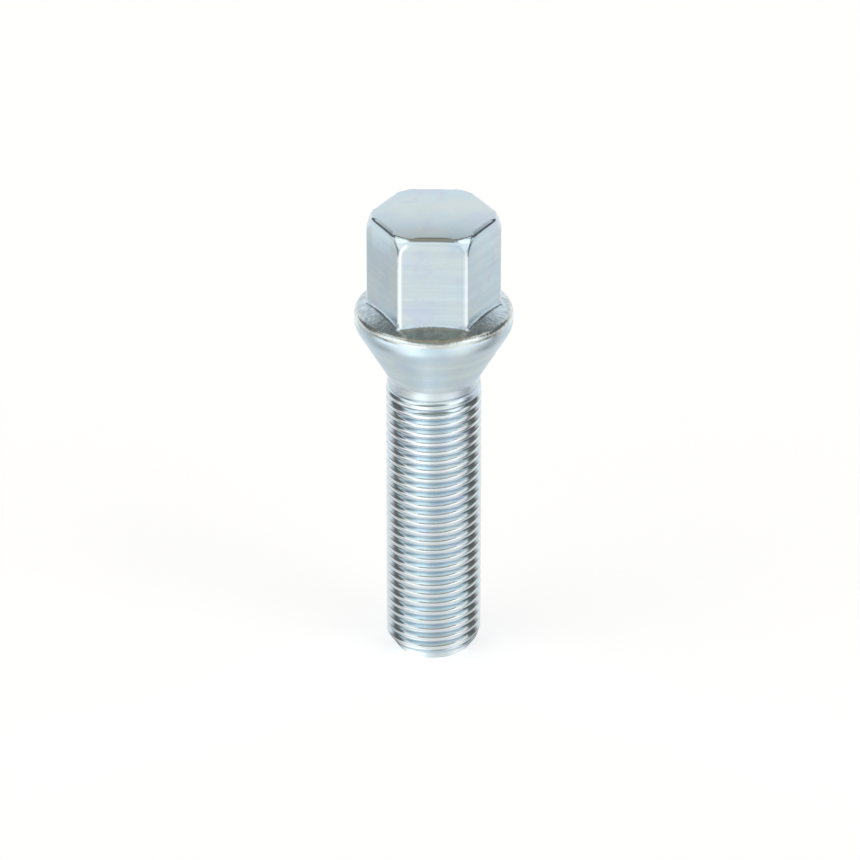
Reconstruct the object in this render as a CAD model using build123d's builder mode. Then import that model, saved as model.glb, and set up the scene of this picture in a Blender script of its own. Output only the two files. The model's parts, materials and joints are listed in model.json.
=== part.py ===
"""Wheel bolt with a hexagon head, a sloped collar and a conical seat, forged in one piece.

Millimetres, +Z up. The origin is the centre of the flat tip on which the bolt stands.
The shank is drawn plain at the thread's outside diameter.
"""

import math
import os

from build123d import *

# Shank, from the tip upwards
thread_diameter = 14.0
tip_diameter = 10.9
tip_radius = 0.3
lead_in_height = 2.3
threaded_length = 42.6
runout_length = 0.6
neck_diameter = 13.5
neck_length = 2.3

# Conical seat and collar
seat_angle = 60.0
seat_root_radius = 0.7
collar_diameter = 23.0
rim_height = 2.35
rim_lower_radius = 0.8
rim_upper_radius = 0.5
collar_slope = 20.0

# Hexagon head with a domed crown and chamfered corners
hex_across_flats = 17.0
hex_height = 14.65
hex_corner_radius = 0.5
hex_edge_radius = 0.35
chamfer_width = 0.7
chamfer_angle = 20.0
crown_rise = 0.75
crown_shoulder_radius = 0.5

# Levels and radii that follow from the sizes above
thread_r = thread_diameter / 2
tip_r = tip_diameter / 2
neck_r = neck_diameter / 2
collar_r = collar_diameter / 2
hex_corner_r = hex_across_flats / 2 / math.cos(math.radians(30))
crown_r = hex_corner_r - chamfer_width
neck_base_z = threaded_length + runout_length
seat_base_z = neck_base_z + neck_length
rim_base_z = seat_base_z + (collar_r - neck_r) / math.tan(math.radians(seat_angle / 2))
rim_top_z = rim_base_z + rim_height
collar_apex_z = rim_top_z + collar_r * math.tan(math.radians(collar_slope))
crown_base_z = rim_top_z + hex_height
chamfer_base_z = crown_base_z - chamfer_width / math.tan(math.radians(chamfer_angle))
head_top_z = crown_base_z + crown_rise

with BuildPart() as wheel_bolt:
    # Hexagon prism that starts inside the collar
    with BuildSketch(Plane.XY.offset(rim_base_z)) as hexagon:
        RegularPolygon(radius=hex_across_flats / 2, side_count=6, major_radius=False)
        fillet(hexagon.vertices(), radius=hex_corner_radius)
    extrude(amount=head_top_z - rim_base_z)

    # Crown: a shallow dome that meets the flats, and a chamfer that takes off the six corners
    with BuildSketch(Plane.XZ) as crown:
        with BuildLine():
            dome = TangentArc((0, head_top_z), (crown_r, crown_base_z), tangent=(1, 0))
            Polyline(
                dome @ 1,
                (hex_corner_r, chamfer_base_z),
                (hex_corner_r, rim_base_z),
                (0, rim_base_z),
                dome @ 0,
            )
        make_face()
        fillet(crown.vertices().group_by(Axis.Y)[-2], radius=crown_shoulder_radius)
    revolve(axis=Axis.Z, mode=Mode.INTERSECT)
    fillet(wheel_bolt.edges(Select.NEW), radius=hex_edge_radius)

    # Shank, neck, seat and collar, turned about the bolt's axis
    with BuildSketch(Plane.XZ) as turned:
        with BuildLine():
            outline = FilletPolyline(
                (0, 0),
                (tip_r, 0),
                (thread_r, lead_in_height),
                (thread_r, threaded_length),
                (neck_r, neck_base_z),
                (neck_r, seat_base_z),
                (collar_r, rim_base_z),
                (collar_r, rim_top_z),
                (0, collar_apex_z),
                radius=(tip_radius, 0, 0, 0, seat_root_radius, rim_lower_radius, rim_upper_radius),
            )
            Line(outline @ 1, outline @ 0)
        make_face()
    revolve(axis=Axis.Z)

wheel_bolt.part.label = "wheel_bolt"

os.makedirs("parts", exist_ok=True)
export_step(wheel_bolt.part, "parts/wheel_bolt.step")
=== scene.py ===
"""Finished look of a zinc-plated wheel bolt: hexagon head, sloped collar, conical seat, rolled thread."""

import json
import math

import bmesh
import bpy
from mathutils import Matrix, Vector


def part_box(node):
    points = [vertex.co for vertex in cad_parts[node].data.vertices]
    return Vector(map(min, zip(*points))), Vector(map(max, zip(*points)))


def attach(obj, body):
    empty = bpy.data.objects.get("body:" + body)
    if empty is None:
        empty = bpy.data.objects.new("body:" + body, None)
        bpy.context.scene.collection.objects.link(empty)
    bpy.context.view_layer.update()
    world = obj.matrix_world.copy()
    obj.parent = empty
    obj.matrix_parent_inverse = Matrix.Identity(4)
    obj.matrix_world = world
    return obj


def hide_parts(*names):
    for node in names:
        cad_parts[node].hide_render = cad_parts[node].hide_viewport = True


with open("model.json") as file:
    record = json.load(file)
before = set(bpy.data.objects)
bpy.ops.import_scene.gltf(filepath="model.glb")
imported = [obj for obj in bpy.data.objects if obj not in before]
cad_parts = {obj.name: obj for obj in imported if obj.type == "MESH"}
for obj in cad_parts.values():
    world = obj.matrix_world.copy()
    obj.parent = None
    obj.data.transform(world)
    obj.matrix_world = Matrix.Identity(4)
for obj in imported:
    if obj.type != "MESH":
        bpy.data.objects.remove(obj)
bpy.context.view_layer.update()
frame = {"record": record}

MM = 0.001
low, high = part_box("wheel_bolt")
mounts = {mount["name"]: mount for mount in frame["record"]["mounts"]}

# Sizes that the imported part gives
HEAD_TOP = high.z
COLLAR_R = high.x
THREAD_R = mounts["thread"]["dims"]["r_mm"] * MM
SEAT_BASE = mounts["seat_cone"]["pos_m"][2]

# Hexagon head, its domed crown and the chamfer on its corners
HEX_SIDES = 6
HEX_ACROSS_FLATS = 17.0 * MM
HEX_HEIGHT = 14.9 * MM
HEX_CORNER_RADIUS = 0.8 * MM
HEX_EDGE = 0.8 * MM
CORNER_EDGE = 0.25 * MM
CHAMFER_WIDTH = 0.8 * MM
CHAMFER_ANGLE = math.radians(20)
CROWN_RISE = 0.5 * MM
SHOULDER_BLEND = 0.9 * MM
SHOULDER_INNER_R = 7.4 * MM
ROOT_HOLLOW = 0.5 * MM

# Collar, seat and neck
COLLAR_SLOPE = math.radians(20)
SEAT_HALF_ANGLE = math.radians(30)
RIM_LAND = 1.2 * MM
RIM_UPPER_RADIUS = 1.1 * MM
RIM_LOWER_RADIUS = 3.0 * MM
SEAT_ROOT_RADIUS = 0.7 * MM
NECK_R = 6.75 * MM

# Thread, its run-out on the neck and its lead-in at the tip
PITCH = 1.5 * MM
FLANK_ANGLE = math.radians(30)
CREST_FLAT = 0.2 * MM
CREST_RADIUS = 0.25 * MM
ROOT_RADIUS = 0.12 * MM
THREAD_END = 42.6 * MM
RUNOUT_END = 44.6 * MM
NECK_JOIN = 45.15 * MM
NECK_START = 45.3 * MM
TIP_R = 5.45 * MM
TIP_RADIUS = 0.3 * MM
LEAD_IN = 2.3 * MM

# Mesh fineness
FLAT_STEPS = 40
CORNER_STEPS = 12
EDGE_STEPS = 6
SHOULDER_STEPS = 28
DOME_STEPS = 10
CREST_STEPS = 4
ROOT_STEPS = 2
TURN_STEPS = 128
MERGE = 0.0005 * MM

# Zinc plating
COOL_ZINC = (0.66, 0.82, 0.90, 1)
WARM_ZINC = (0.74, 0.84, 0.85, 1)
VIOLET_ZINC = (0.66, 0.74, 0.88, 1)
DULL_ZINC = (0.58, 0.69, 0.75, 1)
# Dark zinc: random blotches on the collar, and painted shade in the thread's roots
BLOTCH_AND_ROOT_SHADE_ZINC = (0.46, 0.55, 0.62, 1)
# Painted highlight colour for the hexagon's corners and the thread's crests, and a painted lighter tone
# for the neck
PAINTED_HIGHLIGHT_ZINC = (0.88, 0.93, 0.95, 1)
# Warm tint painted on the collar's rim as a painted warm reflection in its highlight
RIM_WARM_REFLECTION_ZINC = (0.80, 0.82, 0.73, 1)
STREAK_SCALE = (45, 45, 1000)
TINT_SCALE = 150
CLOUD_SCALE = 260
BLOTCH_SCALE = 900
GRAIN_SCALE = 2200
PLATING_ROUGHNESS = 0.10
STREAK_ROUGHNESS = 0.10
TURNED_ROUGHNESS = 0.20
COLLAR_ROUGHNESS = 0.12
ROLLED_POLISH = 0.03
BUMP_STRENGTH = 0.3
BUMP_HEIGHT = 0.02 * MM

# Studio: tones by direction in degrees from the front, left is negative, 1 is white
THREAD_TONES = (
    (-180, 0.95), (-140, 0.95), (-118, 0.9), (-104, 0.75), (-92, 0.4), (-68, 0.28), (-53, 0.78),
    (-38, 1.5), (-22, 1.5), (-8, 0.98), (7, 0.76), (22, 0.84), (38, 1.05), (53, 0.96),
    (68, 0.42), (84, 0.12), (94, 0.3), (104, 0.7), (118, 0.9), (140, 0.95), (180, 0.95),
)
HEAD_TONES = (
    (-180, 1.0), (-140, 1.0), (-126, 0.65), (-114, 0.62), (-96, 0.5), (-80, 1.05), (-70, 1.2),
    (-24, 1.2), (-12, 0.94), (0, 0.88), (12, 0.92), (24, 1.1), (70, 1.1), (80, 0.95),
    (94, 0.4), (114, 0.74), (126, 0.77), (140, 1.0), (180, 1.0),
)
WALL_TONES = (
    (-180, 0.87), (-137, 0.9), (-126, 0.14), (-98, 0.16), (-80, 1.1), (-50, 1.4), (-22, 1.2),
    (0, 0.4), (18, 0.4), (46, 1.45), (66, 1.4), (86, 0.16), (127, 0.12), (138, 0.9), (180, 0.87),
)
TONE_LIMIT = 1.5

# Paper: the rings of it that the flats and the seat mirror, as start, end and fade of their reach
HEAD_ZONE = (110 * MM, 148 * MM, 8 * MM)
SEAT_ZONE = (16 * MM, 52 * MM, 10 * MM)
SEAT_TONE = 0.72
SEAT_SHARE = 0.85
PAPER_WHITE = (0.90, 0.905, 0.92, 1)
PAPER_GLOW = 0.5
FLOOR_SIZE = 20

# Surroundings: edges as the start and end of a soft step along an axis of the direction
CEILING = (0.15, 0.15, 0.14, 1)
FRONT_CEILING = (0.36, 0.37, 0.37, 1)
WARM_CEILING = (0.38, 0.33, 0.24, 1)
WHITE = (1, 1, 1, 1)
FRONT_EDGE = (0.2, 0.8)
SKIRT_EDGE = (0.03, 0.16)
FRONT_SKIRT_RISE = 0.32
SIDE_EDGE = (0.12, 0.40)
NEAR_SIDE_EDGE = (0, 0.3)
SOFT_BOX_RISE = 0.4
RIGHT_BOX_RISE = 0.2
CEILING_EDGE = (0.45, 0.82)
WARM_EDGE = (0.84, 0.93)
WARM_FRONT_EDGE = (-0.55, -0.35)
LAMP_SIZE = (0.3, 0.4)
LAMP_RADIANCE = 0.6
LEFT_LAMP_PLACE = (-0.55, 0.05, 0.9)
RIGHT_LAMP_PLACE = (0.6, 0.1, 0.85)

# Camera
CAMERA_DISTANCE = 680 * MM
CAMERA_ELEVATION = math.radians(29.0)
CAMERA_TURN = math.radians(1.0)
FOCAL_LENGTH = 194.7
SENSOR_WIDTH = 36
NEAR_CLIP = 0.01
AIM_HEIGHT = 35.8 * MM
AIM_OFFSET = -0.55 * MM

# Levels and radii that follow from the sizes above
HEX_CORNER_R = HEX_ACROSS_FLATS / 2 / math.cos(math.pi / HEX_SIDES)
CORNER_START_R = math.hypot(
    HEX_ACROSS_FLATS / 2,
    (HEX_ACROSS_FLATS / 2 - HEX_CORNER_RADIUS) * math.tan(math.pi / HEX_SIDES),
)
CROWN_R = HEX_CORNER_R - CHAMFER_WIDTH
CROWN_BASE = HEAD_TOP - CROWN_RISE
DOME_R = (CROWN_R ** 2 + CROWN_RISE ** 2) / (2 * CROWN_RISE)
RIM_TOP = CROWN_BASE - HEX_HEIGHT
RIM_BASE = SEAT_BASE + (COLLAR_R - NECK_R) / math.tan(SEAT_HALF_ANGLE)
FLANK_TURN = math.pi / 2 - FLANK_ANGLE
FLANK_HEIGHT = PITCH / 2 - CREST_FLAT / 2 - (CREST_RADIUS + ROOT_RADIUS) * math.sin(FLANK_TURN)
ROUNDING_DEPTH = (CREST_RADIUS + ROOT_RADIUS) * (1 - math.cos(FLANK_TURN))
THREAD_ROOT_R = THREAD_R - ROUNDING_DEPTH - FLANK_HEIGHT / math.tan(FLANK_ANGLE)


def mix(a, b, share):
    """Number, vector or shade at a share of the way from a to b."""
    return a + (b - a) * share


def smooth_step(start, end, value):
    """0 before start, 1 after end and an even curve between."""
    share = min(max((value - start) / (end - start), 0), 1)
    return share * share * (3 - 2 * share)


def bend(start, corner, end, share):
    """Point on the curve that rounds a corner between two points."""
    return mix(mix(start, corner, share), mix(corner, end, share), share)


def rounded(points, radii, steps):
    """Outline of (radius, height) points with each inner corner turned into an arc."""
    outline = [points[0]]
    for before, corner, after, radius in zip(points, points[1:], points[2:], radii):
        back = (before - corner).normalized()
        ahead = (after - corner).normalized()
        half = back.angle(ahead) / 2
        centre = corner + (back + ahead).normalized() * radius / math.sin(half)
        reach = radius / math.tan(half)
        first = corner + back * reach - centre
        last = corner + ahead * reach - centre
        for step in range(steps + 1):
            outline.append(centre + first.slerp(last, step / steps) * radius)
    outline.append(points[-1])
    return outline


def crown_height(radius):
    """Height of the crown: the dome, rounded over into the corner chamfer."""
    dome = HEAD_TOP - DOME_R + math.sqrt(DOME_R ** 2 - radius ** 2)
    chamfer = CROWN_BASE - (radius - CROWN_R) / math.tan(CHAMFER_ANGLE)
    overlap = max(SHOULDER_BLEND - abs(dome - chamfer), 0)
    return min(dome, chamfer) - overlap ** 2 / SHOULDER_BLEND / 4


def collar_height(radius):
    """Height of the collar's sloped top."""
    return RIM_TOP + (COLLAR_R - radius) * math.tan(COLLAR_SLOPE)


def edge_width(wall):
    """Width of the crown's rounded edge: wide along the flats, narrow on the corner chamfer."""
    return mix(HEX_EDGE, CORNER_EDGE, smooth_step(CROWN_R - 0.3 * MM, CROWN_R + 0.3 * MM, wall))


def hex_edge_ring(share):
    """Places a ring on the rounded edge between the flats and the crown."""
    def place(wall):
        inner = wall - edge_width(wall)
        start = Vector((wall, crown_height(wall) - HEX_EDGE))
        corner = Vector((wall, crown_height(wall)))
        return bend(start, corner, Vector((inner, crown_height(inner))), share)
    return place


def shoulder_ring(share):
    """Places a ring on the crown's outer part, where the hexagon turns into a circle."""
    def place(wall):
        radius = mix(wall - edge_width(wall), SHOULDER_INNER_R, share)
        return radius, crown_height(radius)
    return place


def dome_ring(share):
    """Places a ring on the crown's dome."""
    radius = SHOULDER_INNER_R * (1 - share)
    return lambda wall: (radius, crown_height(radius))


def root_ring(share):
    """Places a ring on the hollow between the flats and the collar."""
    def place(wall):
        outer = wall + ROOT_HOLLOW
        start = Vector((wall, collar_height(wall) + ROOT_HOLLOW))
        corner = Vector((wall, collar_height(wall)))
        return bend(start, corner, Vector((outer, collar_height(outer))), share)
    return place


def turned_ring(point):
    """Places a ring on the turned collar, seat and neck."""
    return lambda wall: point


def extrude_ring(bm, edges, place):
    """Extrudes a closed ring of edges and puts it where place says for the hexagon's wall on each side."""
    wall_layer = bm.verts.layers.float["wall"]
    made = bmesh.ops.extrude_edge_only(bm, edges=edges)["geom"]
    for vert in (item for item in made if isinstance(item, bmesh.types.BMVert)):
        radius, height = place(vert[wall_layer])
        vert.co.xy = vert.co.xy.normalized() * radius
        vert.co.z = height
    return [item for item in made if isinstance(item, bmesh.types.BMEdge)]


def make_wall_ring(bm):
    """Hexagon of edges with rounded corners, half-way up the flats; each vertex keeps its distance out."""
    bmesh.ops.create_circle(bm, segments=HEX_SIDES, radius=HEX_CORNER_R)
    bmesh.ops.rotate(bm, verts=bm.verts, matrix=Matrix.Rotation(math.pi / HEX_SIDES, 3, "Z"))
    bmesh.ops.translate(bm, verts=bm.verts, vec=(0, 0, mix(RIM_TOP, CROWN_BASE, 0.5)))
    bmesh.ops.bevel(
        bm,
        geom=bm.verts[:],
        offset=HEX_CORNER_RADIUS * math.tan(math.pi / HEX_SIDES),
        offset_type="OFFSET",
        affect="VERTICES",
        segments=CORNER_STEPS,
        profile=0.5,
        material=-1,
    )
    flats = [edge for edge in bm.edges if edge.calc_length() > HEX_CORNER_RADIUS]
    bmesh.ops.subdivide_edges(bm, edges=flats, cuts=FLAT_STEPS - 1)
    wall_layer = bm.verts.layers.float.new("wall")
    for vert in bm.verts:
        vert[wall_layer] = vert.co.xy.length
    return bm.edges[:]


def make_head():
    """Hexagon with its crown, collar, seat and neck, open at the neck's lower end."""
    bm = bmesh.new()
    wall_ring = make_wall_ring(bm)

    ring = wall_ring
    for step in range(EDGE_STEPS + 1):
        ring = extrude_ring(bm, ring, hex_edge_ring(step / EDGE_STEPS))
    for step in range(1, SHOULDER_STEPS + 1):
        ring = extrude_ring(bm, ring, shoulder_ring(step / SHOULDER_STEPS))
    for step in range(1, DOME_STEPS):
        ring = extrude_ring(bm, ring, dome_ring(step / DOME_STEPS))
    bmesh.ops.contextual_create(bm, geom=ring)

    ring = wall_ring
    for step in range(EDGE_STEPS + 1):
        ring = extrude_ring(bm, ring, root_ring(step / EDGE_STEPS))
    outline = rounded(
        [
            Vector((COLLAR_R - RIM_LAND, collar_height(COLLAR_R - RIM_LAND))),
            Vector((COLLAR_R, RIM_TOP)),
            Vector((COLLAR_R, RIM_BASE)),
            Vector((NECK_R, SEAT_BASE)),
            Vector((NECK_R, NECK_START)),
        ],
        (RIM_UPPER_RADIUS, RIM_LOWER_RADIUS, SEAT_ROOT_RADIUS),
        EDGE_STEPS,
    )
    for point in outline:
        ring = extrude_ring(bm, ring, turned_ring(point))
    return bm


def lead_in_reach(height):
    """Radius of the lead-in taper, rounded at the tip's flat end."""
    rise = math.atan2(LEAD_IN, THREAD_R - TIP_R)
    centre = TIP_R - TIP_RADIUS * math.tan(rise / 2)
    if height > TIP_RADIUS * (1 - math.cos(rise)):
        return TIP_R + height / math.tan(rise)
    drop = TIP_RADIUS - max(height, 0)
    return centre + math.sqrt(TIP_RADIUS ** 2 - drop ** 2)


def shank_reach(height):
    """Largest radius of the shank: lead-in, full thread, then the neck."""
    step_down = smooth_step(THREAD_END, RUNOUT_END, height)
    return min(lead_in_reach(height), mix(THREAD_R, NECK_R, step_down))


def groove_floor(height):
    """Smallest radius of the shank: the thread's grooves fade out on the neck."""
    return mix(THREAD_ROOT_R, NECK_R, smooth_step(THREAD_END - PITCH, SEAT_BASE + PITCH / 2, height))


def thread_profile():
    """One pitch of the rolled thread, from crest to crest, as (radius, height) points."""
    half = [(THREAD_R, 0)]
    for step in range(CREST_STEPS + 1):
        angle = FLANK_TURN * step / CREST_STEPS
        half.append((
            THREAD_R - CREST_RADIUS * (1 - math.cos(angle)),
            CREST_FLAT / 2 + CREST_RADIUS * math.sin(angle),
        ))
    for step in range(ROOT_STEPS, -1, -1):
        angle = FLANK_TURN * step / ROOT_STEPS
        half.append((
            THREAD_ROOT_R + ROOT_RADIUS * (1 - math.cos(angle)),
            PITCH / 2 - ROOT_RADIUS * math.sin(angle),
        ))
    return half + [(radius, PITCH - height) for radius, height in half[-2:0:-1]]


def make_thread():
    """Rolled thread: a long profile, turned and raised by a pitch, then trimmed to the shank's outline."""
    bm = bmesh.new()
    turns = math.ceil(NECK_JOIN / PITCH) + 1
    chain = [
        bm.verts.new((radius, 0, turn * PITCH + height))
        for turn in range(-1, turns)
        for radius, height in thread_profile()
    ]
    edges = [bm.edges.new(pair) for pair in zip(chain, chain[1:])]
    bmesh.ops.spin(
        bm,
        geom=chain + edges,
        axis=(0, 0, 1),
        dvec=(0, 0, PITCH / TURN_STEPS),
        angle=2 * math.pi,
        steps=TURN_STEPS,
    )
    bmesh.ops.remove_doubles(bm, verts=bm.verts, dist=MERGE)
    for vert in bm.verts:
        radius = min(max(vert.co.xy.length, groove_floor(vert.co.z)), shank_reach(vert.co.z))
        vert.co.xy = vert.co.xy.normalized() * radius
    for height, side in ((0, -1), (NECK_JOIN, 1)):
        bmesh.ops.bisect_plane(
            bm,
            geom=bm.verts[:] + bm.edges[:] + bm.faces[:],
            dist=MERGE,
            plane_co=(0, 0, height),
            plane_no=(0, 0, side),
            clear_outer=True,
        )
    return bm


def open_ring(bm, height):
    """Border edges of a mesh at a height."""
    return [
        edge for edge in bm.edges
        if edge.is_boundary and all(abs(vert.co.z - height) < MERGE for vert in edge.verts)
    ]


def make_bolt():
    """Thread and head joined at the neck as one closed mesh."""
    bm = make_thread()
    bmesh.ops.contextual_create(bm, geom=open_ring(bm, 0))
    mesh = bpy.data.meshes.new("wheel_bolt_body")
    head = make_head()
    head.to_mesh(mesh)
    head.free()
    bm.from_mesh(mesh)
    bmesh.ops.bridge_loops(bm, edges=open_ring(bm, NECK_JOIN) + open_ring(bm, NECK_START))
    bmesh.ops.remove_doubles(bm, verts=bm.verts, dist=MERGE)
    bmesh.ops.recalc_face_normals(bm, faces=bm.faces)
    for face in bm.faces:
        face.smooth = True
    bm.to_mesh(mesh)
    bm.free()
    bolt = bpy.data.objects.new("wheel_bolt_body", mesh)
    bpy.context.scene.collection.objects.link(bolt)
    return bolt


class Shade:
    """A socket of a node tree; Python's operators on it add Math nodes to the tree."""

    def __init__(self, tree, socket=None):
        self.tree = tree
        self.socket = socket

    def node(self, kind, settings, inputs, output=0):
        """Adds a node, sets it, fills or links its inputs and gives one of its outputs."""
        made = self.tree.nodes.new(kind)
        for name, value in settings.items():
            setattr(made, name, value)
        for name, value in inputs.items():
            self.feed(made.inputs[name], value)
        return Shade(self.tree, made.outputs[output])

    def feed(self, socket, value):
        """Links a shade to a socket, or sets a plain value on it."""
        if isinstance(value, Shade):
            self.tree.links.new(value.socket, socket)
        else:
            socket.default_value = value

    def math(self, operation, *values):
        """Adds a Math node."""
        return self.node("ShaderNodeMath", {"operation": operation}, dict(enumerate(values)))

    def __add__(self, other):
        return self.math("ADD", self, other)

    def __sub__(self, other):
        return self.math("SUBTRACT", self, other)

    def __rsub__(self, other):
        return self.math("SUBTRACT", other, self)

    def __mul__(self, other):
        return self.math("MULTIPLY", self, other)

    __radd__ = __add__
    __rmul__ = __mul__

    def ramp(self, start, end):
        """0 where the value is start, 1 where it is end, eased between."""
        settings = {"interpolation_type": "SMOOTHSTEP"}
        inputs = {"Value": self, "From Min": start, "From Max": end}
        return self.node("ShaderNodeMapRange", settings, inputs)

    def band(self, start, end, fade):
        """1 between two values, fading to 0 outside them."""
        return self.ramp(start - fade, start) * (1 - self.ramp(end, end + fade))

    def blend(self, colour_off, colour_on):
        """Colour that goes from one to another as the value goes from 0 to 1."""
        return self.node("ShaderNodeMix", {"data_type": "RGBA"}, {0: self, 6: colour_off, 7: colour_on}, 2)

    def grey(self):
        """The value as a colour."""
        return self.node("ShaderNodeCombineColor", {}, {"Red": self, "Green": self, "Blue": self})

    def noise(self, scale, detail):
        """Noise over a place, from 0 to 1."""
        inputs = {"Vector": self, "Scale": scale, "Detail": detail}
        return self.node("ShaderNodeTexNoise", {}, inputs, "Fac")

    def axes(self):
        """The three parts of a vector."""
        parts = self.node("ShaderNodeSeparateXYZ", {}, {"Vector": self})
        return [Shade(self.tree, socket) for socket in parts.socket.node.outputs]


def make_zinc():
    """Bright zinc plating: faint tints, drawn streaks and fine grain, with painted shade in the thread's
    roots, painted highlights on the hexagon's corners and the thread's crests, a painted lighter tone on
    the neck and a painted warm reflection on the rim.
    """
    zinc = bpy.data.materials.new("bright_zinc")
    zinc.use_nodes = True
    shade = Shade(zinc.node_tree)
    surface = zinc.node_tree.nodes["Principled BSDF"]
    place = shade.node("ShaderNodeTexCoord", {}, {}, "Object")
    x, y, height = place.axes()
    radius = x.math("SQRT", x * x + y * y)
    wall = shade.node("ShaderNodeAttribute", {"attribute_name": "wall"}, {}, "Fac")
    streaks = shade.node("ShaderNodeMapping", {}, {"Vector": place, "Scale": STREAK_SCALE}).noise(1, 3)
    tints = place.noise(TINT_SCALE, 2)
    clouds = place.noise(CLOUD_SCALE, 3)
    blotches = place.noise(BLOTCH_SCALE, 3)
    grain = place.noise(GRAIN_SCALE, 2)

    flats = height.band(RIM_TOP + 1.5 * MM, CROWN_BASE - 2.2 * MM, 0.5 * MM)
    # Painted highlight along the hexagon's rounded corners
    corner = wall.ramp(CORNER_START_R - 0.1 * MM, CORNER_START_R) * flats
    collar = height.band(RIM_TOP - 0.4 * MM, RIM_TOP + 1.2 * MM, 0.3 * MM)
    # Band for the rim's painted warm reflection
    rim_reflection = height.band(RIM_TOP - 0.6 * MM, RIM_TOP, 0.3 * MM)
    turned = height.band(RUNOUT_END, RIM_TOP - 1.6 * MM, 0.8 * MM)
    # Band for the neck's painted lighter tone
    neck = height.band(RUNOUT_END, SEAT_BASE + 0.8 * MM, 0.6 * MM)
    shank = height.band(2.0 * MM, THREAD_END, 1.0 * MM)
    # Painted shade: darker in the thread's roots
    root_shade = (1 - radius.ramp(THREAD_ROOT_R + 0.1 * MM, THREAD_ROOT_R + 0.4 * MM)) * shank
    # Painted highlight on the thread's crests
    crest = radius.ramp(THREAD_R - 0.3 * MM, THREAD_R - 0.1 * MM) * shank

    colour = tints.ramp(0.35, 0.65).blend(COOL_ZINC, WARM_ZINC)
    colour = (clouds.ramp(0.50, 0.70) * 0.8).blend(colour, VIOLET_ZINC)
    colour = (streaks.ramp(0.35, 0.65) * 0.4).blend(colour, DULL_ZINC)
    colour = (grain.ramp(0.45, 0.7) * (0.12 + collar * 0.5)).blend(colour, DULL_ZINC)
    colour = (blotches.ramp(0.44, 0.62) * collar * 0.7).blend(colour, BLOTCH_AND_ROOT_SHADE_ZINC)
    # Painted warm reflection: a yellow tint on the rim
    colour = (rim_reflection * 0.5).blend(colour, RIM_WARM_REFLECTION_ZINC)
    # Painted shade in the thread's roots
    colour = (root_shade * 0.8).blend(colour, BLOTCH_AND_ROOT_SHADE_ZINC)
    # Painted highlights on the thread's crests and the hexagon's corners, and a painted lighter tone on
    # the neck
    colour = (crest * 0.7).blend(colour, PAINTED_HIGHLIGHT_ZINC)
    colour = (corner * 0.5 + neck * 0.3).blend(colour, PAINTED_HIGHLIGHT_ZINC)
    shade.feed(surface.inputs["Base Color"], colour)

    roughness = PLATING_ROUGHNESS + streaks * STREAK_ROUGHNESS + turned * TURNED_ROUGHNESS
    roughness = roughness - shank * ROLLED_POLISH + collar * grain * COLLAR_ROUGHNESS
    shade.feed(surface.inputs["Roughness"], roughness)
    surface.inputs["Metallic"].default_value = 1
    relief = grain * (0.5 + collar * 6) + streaks
    bump_inputs = {"Strength": BUMP_STRENGTH, "Distance": BUMP_HEIGHT, "Height": relief}
    shade.feed(surface.inputs["Normal"], shade.node("ShaderNodeBump", {}, bump_inputs))
    return zinc


def direction_tone(x, y, tones):
    """Tone by the direction of a point seen from the bolt."""
    turn = x.math("ARCTAN2", x, y * -1) * (0.5 / math.pi) + 0.5
    ramp = turn.node("ShaderNodeValToRGB", {}, {"Fac": turn})
    stops = ramp.socket.node.color_ramp.elements
    first, *inner, last = [(0.5 + angle / 360, [tone / TONE_LIMIT] * 3 + [1]) for angle, tone in tones]
    stops[0].color = first[1]
    stops[1].color = last[1]
    for place, colour in inner:
        stops.new(place).color = colour
    return ramp * TONE_LIMIT


def make_paper():
    """White paper with the bolt's soft shadow; metal sees on it the tones of the studio round it."""
    paper = bpy.data.materials.new("white_paper")
    paper.use_nodes = True
    paper.cycles.emission_sampling = "NONE"
    tree = paper.node_tree
    shade = Shade(tree)
    place = shade.node("ShaderNodeTexCoord", {}, {}, "Object")
    x, y = place.axes()[:2]
    reach = x.math("SQRT", x * x + y * y)
    head_zone = reach.band(*HEAD_ZONE)
    seat_zone = reach.band(*SEAT_ZONE)
    tone = mix(direction_tone(x, y, THREAD_TONES), direction_tone(x, y, HEAD_TONES), head_zone)
    tone = mix(tone, SEAT_TONE, seat_zone * SEAT_SHARE)

    glow = shade.node("ShaderNodeEmission", {}, {"Color": WHITE, "Strength": PAPER_GLOW})
    matt = shade.node("ShaderNodeBsdfDiffuse", {}, {"Color": PAPER_WHITE})
    seen = shade.node("ShaderNodeAddShader", {}, {0: glow, 1: matt})
    mirrored = shade.node("ShaderNodeEmission", {}, {"Color": tone.grey(), "Strength": 1})
    glossy = shade.node("ShaderNodeLightPath", {}, {}, "Is Glossy Ray")
    through = shade.node("ShaderNodeLightPath", {}, {}, "Is Transmission Ray")
    bounced = glossy.math("MAXIMUM", glossy, through)
    surface = shade.node("ShaderNodeMixShader", {}, {0: bounced, 1: seen, 2: mirrored})
    shade.feed(tree.nodes["Material Output"].inputs["Surface"], surface)
    return paper


def make_floor():
    """Large sheet of paper that the bolt stands on."""
    bpy.ops.mesh.primitive_plane_add(size=FLOOR_SIZE)
    floor = bpy.context.object
    floor.name = "floor"
    floor.data.materials.append(make_paper())


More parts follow.
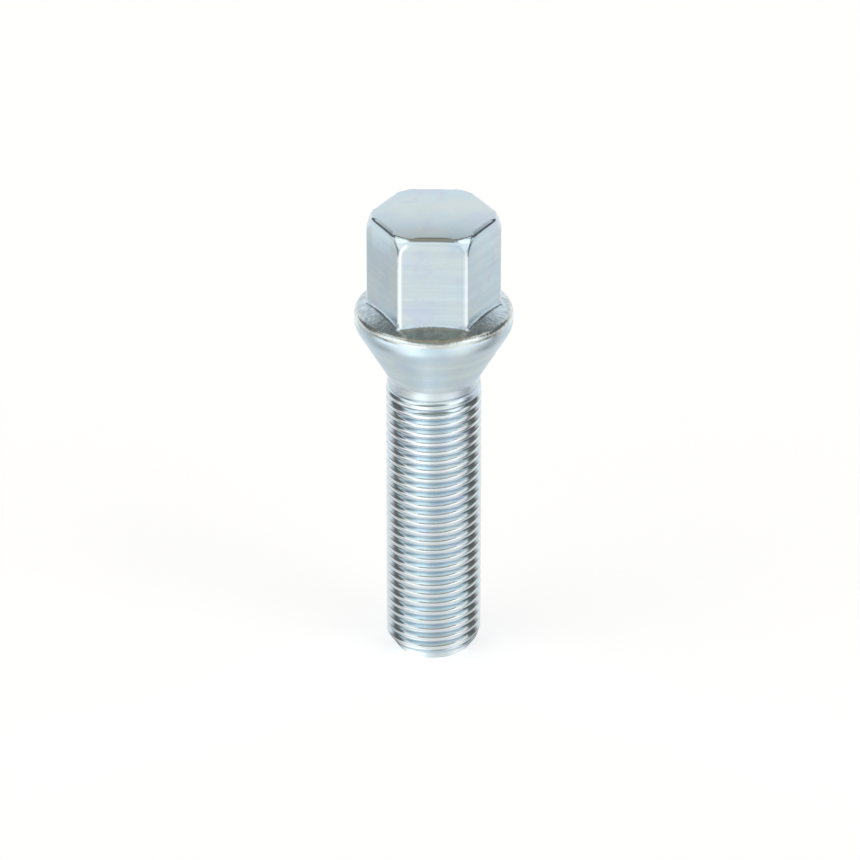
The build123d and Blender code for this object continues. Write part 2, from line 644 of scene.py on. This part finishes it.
def make_studio():
    """World: white low down, soft boxes and flags round the bolt, a dim ceiling, white for the camera."""
    world = bpy.data.worlds.new("studio")
    bpy.context.scene.world = world
    world.use_nodes = True
    shade = Shade(world.node_tree)
    x, y, z = shade.node("ShaderNodeTexCoord", {}, {}, "Generated").axes()
    front = (y * -1).ramp(*FRONT_EDGE)
    skirt = 1 - (z - front * FRONT_SKIRT_RISE).ramp(*SKIRT_EDGE)
    sky = mix(direction_tone(x, y, WALL_TONES), 1, skirt).grey()
    soft_boxes = (x * x).ramp(*SIDE_EDGE) * (y * -1).ramp(*NEAR_SIDE_EDGE)
    ceiling = front.blend(CEILING, FRONT_CEILING)
    ceiling_level = z - soft_boxes * (SOFT_BOX_RISE + x * RIGHT_BOX_RISE)
    sky = ceiling_level.ramp(*CEILING_EDGE).blend(sky, ceiling)
    warm = z.ramp(*WARM_EDGE) * y.ramp(*WARM_FRONT_EDGE)
    sky = warm.blend(sky, WARM_CEILING)
    seen = shade.node("ShaderNodeLightPath", {}, {}, "Is Camera Ray")
    shade.feed(world.node_tree.nodes["Background"].inputs["Color"], seen.blend(sky, WHITE))


def add_lamp(name, place):
    """Soft rectangular lamp that shines from a place at the bolt."""
    lamp = bpy.data.lights.new(name, "AREA")
    lamp.shape = "RECTANGLE"
    lamp.size, lamp.size_y = LAMP_SIZE
    lamp.energy = LAMP_RADIANCE * 4 * lamp.size * lamp.size_y
    piece = bpy.data.objects.new(name, lamp)
    piece.location = place
    piece.rotation_mode = "QUATERNION"
    piece.rotation_quaternion = (-Vector(place)).to_track_quat("-Z", "Y")
    piece.visible_camera = False
    bpy.context.scene.collection.objects.link(piece)


def add_camera():
    """Camera a little above the bolt, in front of it."""
    back = Vector((
        math.sin(CAMERA_TURN) * math.cos(CAMERA_ELEVATION),
        -math.cos(CAMERA_TURN) * math.cos(CAMERA_ELEVATION),
        math.sin(CAMERA_ELEVATION),
    ))
    right = Vector((math.cos(CAMERA_TURN), math.sin(CAMERA_TURN), 0))
    aim = Vector((0, 0, AIM_HEIGHT)) + right * AIM_OFFSET
    lens = bpy.data.cameras.new("camera")
    lens.lens = FOCAL_LENGTH
    lens.sensor_width = SENSOR_WIDTH
    lens.clip_start = NEAR_CLIP
    camera = bpy.data.objects.new("camera", lens)
    camera.location = aim + back * CAMERA_DISTANCE
    camera.rotation_mode = "QUATERNION"
    camera.rotation_quaternion = (-back).to_track_quat("-Z", "Y")
    bpy.context.scene.collection.objects.link(camera)
    bpy.context.scene.camera = camera


bolt = make_bolt()
bolt.data.materials.append(make_zinc())
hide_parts("wheel_bolt")
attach(bolt, "root")

make_floor()
make_studio()
add_lamp("left_lamp", LEFT_LAMP_PLACE)
add_lamp("right_lamp", RIGHT_LAMP_PLACE)
add_camera()
bpy.context.scene.view_settings.view_transform = "Standard"
